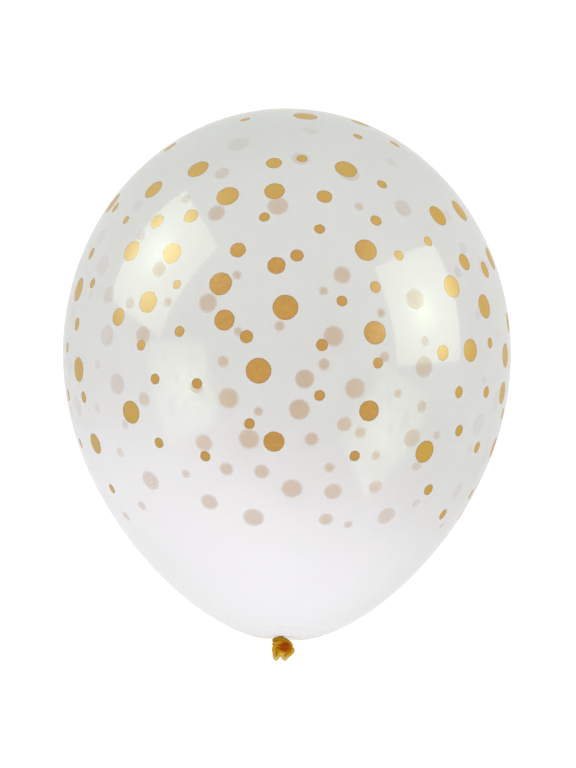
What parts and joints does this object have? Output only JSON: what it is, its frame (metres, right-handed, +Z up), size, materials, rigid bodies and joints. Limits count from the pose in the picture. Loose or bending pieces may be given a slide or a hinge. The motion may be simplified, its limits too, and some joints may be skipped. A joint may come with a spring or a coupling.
{
  "type": "clear latex balloon",
  "caption": "Blown-up clear latex balloon with scattered gold printed dots, its amber neck tied in an overhand knot above a rolled mouth; lies on its side as party decoration.",
  "frame": {"origin": "middle of the flat spot that the balloon rests on, under its widest circle", "axes": "+Z up, +Y along the long axis from the knot to the crown, +X to the right seen from above with the crown away"},
  "size_m": [0.2998, 0.3702, 0.2987],
  "materials": {
    "latex": "glossy clear latex film, milkier towards the base, with opaque gold ink dots and an amber knot"
  },
  "bodies": {
    "root": {"balloon": "latex"}
  },
  "joints": []
}
